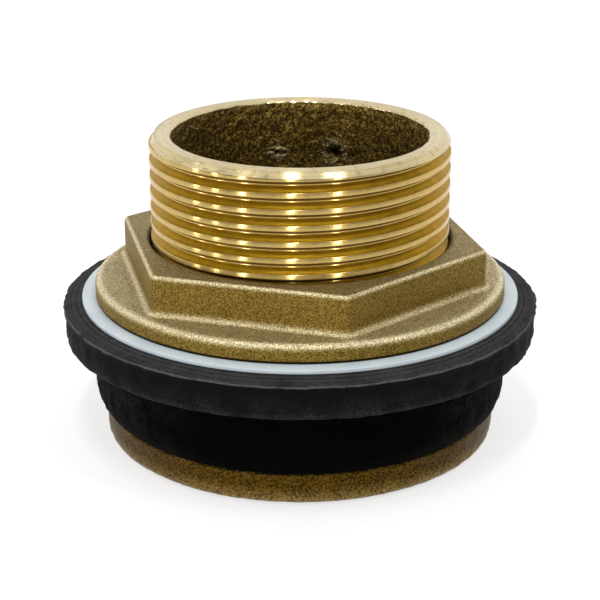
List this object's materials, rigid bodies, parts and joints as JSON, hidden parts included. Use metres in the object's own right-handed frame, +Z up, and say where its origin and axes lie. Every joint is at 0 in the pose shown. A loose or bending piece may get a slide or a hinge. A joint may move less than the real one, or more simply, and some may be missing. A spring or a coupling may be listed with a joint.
{
  "type": "closet spud",
  "caption": "Threaded brass tail with a flanged base, a stepped rubber gasket, a friction washer and a hexagonal lock nut, for coupling a flush tube to a toilet bowl.",
  "frame": {"origin": "centre of the base that the spud stands on", "axes": "+Z up along the waterway, out of the threaded end; -Y towards the viewer of the picture"},
  "size_m": [0.0678, 0.0678, 0.0435],
  "materials": {
    "turned_brass": "bright turned thread, bore and base left as cast",
    "cast_brass": "sand cast, edges worn bright",
    "white_plastic": "smooth, slightly bluish white",
    "black_rubber": "matt, dusty on the flange"
  },
  "bodies": {
    "spud": {"spud_body": "turned_brass", "rubber_gasket": "black_rubber"},
    "washer": {"friction_washer": "white_plastic"},
    "nut": {"lock_nut": "cast_brass"}
  },
  "joints": [
    {"name": "washer_rise", "type": "slide", "parent": "spud", "child": "washer", "axis": [0, 0, 1], "range_m": [0, 0.01436]},
    {"name": "nut_turn", "type": "hinge", "parent": "washer", "child": "nut", "pos_m": [0, 0, 0.0206], "axis": [0, 0, 1], "range_deg": [0, 2340]}
  ],
  "couplings": [
    {"joint": "washer_rise", "follows": "nut_turn", "m_per_rad": 0.00035152}
  ]
}
